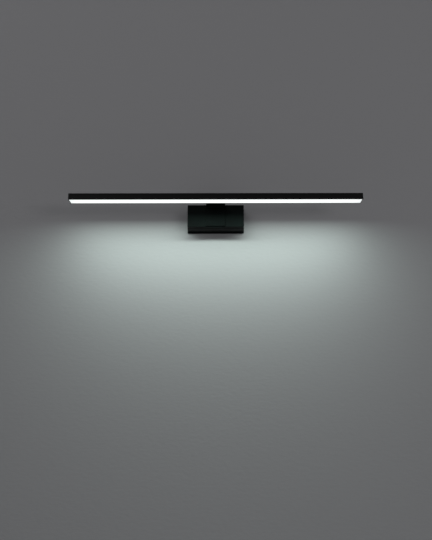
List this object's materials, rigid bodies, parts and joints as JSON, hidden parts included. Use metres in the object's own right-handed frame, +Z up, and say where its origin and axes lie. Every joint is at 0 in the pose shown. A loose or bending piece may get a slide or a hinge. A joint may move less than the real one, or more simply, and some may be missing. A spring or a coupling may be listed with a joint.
{
  "type": "vanity light bar",
  "caption": "Slim straight LED light bar with an opal underside, held out from a small rectangular wall box by a flat bent arm; it lights the mirror below it.",
  "frame": {"origin": "middle of the face that lies on the wall, behind the box", "axes": "+X along the bar, +Y into the wall, +Z up; the lamp stands out from the wall towards -Y"},
  "size_m": [0.6, 0.12, 0.0574],
  "materials": {
    "black_steel": "fine satin black powder coat",
    "black_aluminium": "fine satin black powder coat",
    "black_moulding": "satin black moulding",
    "opal": "opal, satin, lit from behind",
    "led_face": "cast phosphor face in a white package",
    "foam": "closed-cell foam",
    "rubber": "moulded rubber",
    "silicone": "silicone cord",
    "zinc": "zinc-plated steel",
    "black_screw": "black-oxide steel",
    "galvanised": "galvanised sheet",
    "mill_aluminium": "machined",
    "driver_white": "white moulding",
    "board_green": "solder mask",
    "board_white": "white solder mask on aluminium core",
    "ferrite": "ferrite with yellow winding tape",
    "can_sleeve": "printed-free shrink sleeve",
    "terminal_white": "off-white moulding",
    "clamp_grey": "grey moulding",
    "brass": "turned",
    "wire_brown": "insulation",
    "wire_blue": "insulation",
    "wire_earth": "green and yellow insulation with a ring terminal",
    "earth_screw": "yellow-passivated",
    "lead_black": "flat silicone lead",
    "tape": "heat-conducting tape",
    "solder": "solder"
  },
  "bodies": {
    "root": {"wall_plate": "black_steel", "arm_bracket": "black_steel", "arm_lead_cover": "black_steel", "front_shell": "black_aluminium", "bar_profile": "black_aluminium", "end_cap_left": "black_aluminium", "end_cap_right": "black_aluminium", "rear_shell": "black_moulding", "diffuser": "opal", "led_packages": "led_face", "wall_gasket": "foam", "cable_grommet": "rubber", "lead_grommet": "rubber", "shell_seal": "silicone", "shell_screws": "zinc", "tray_screws": "zinc", "driver_screws": "zinc", "clamp_screws": "zinc", "terminal_screws": "zinc", "arm_washers": "zinc", "arm_nuts": "zinc", "side_screws": "black_screw", "arm_screws": "black_screw", "saddle_screws": "black_screw", "end_cap_screws": "black_screw", "gear_tray": "galvanised", "arm_backing_plate": "galvanised", "saddle_block": "mill_aluminium", "driver_case": "driver_white", "driver_lid": "driver_white", "driver_board": "board_green", "led_board": "board_white", "driver_transformer": "ferrite", "driver_capacitors": "can_sleeve", "terminal_block": "terminal_white", "cable_clamp": "clamp_grey", "terminal_barrels": "brass", "line_lead": "wire_brown", "neutral_lead": "wire_blue", "earth_lead": "wire_earth", "earth_screw": "earth_screw", "arm_lead": "lead_black", "thermal_tape": "tape", "board_joints": "solder"}
  },
  "joints": []
}
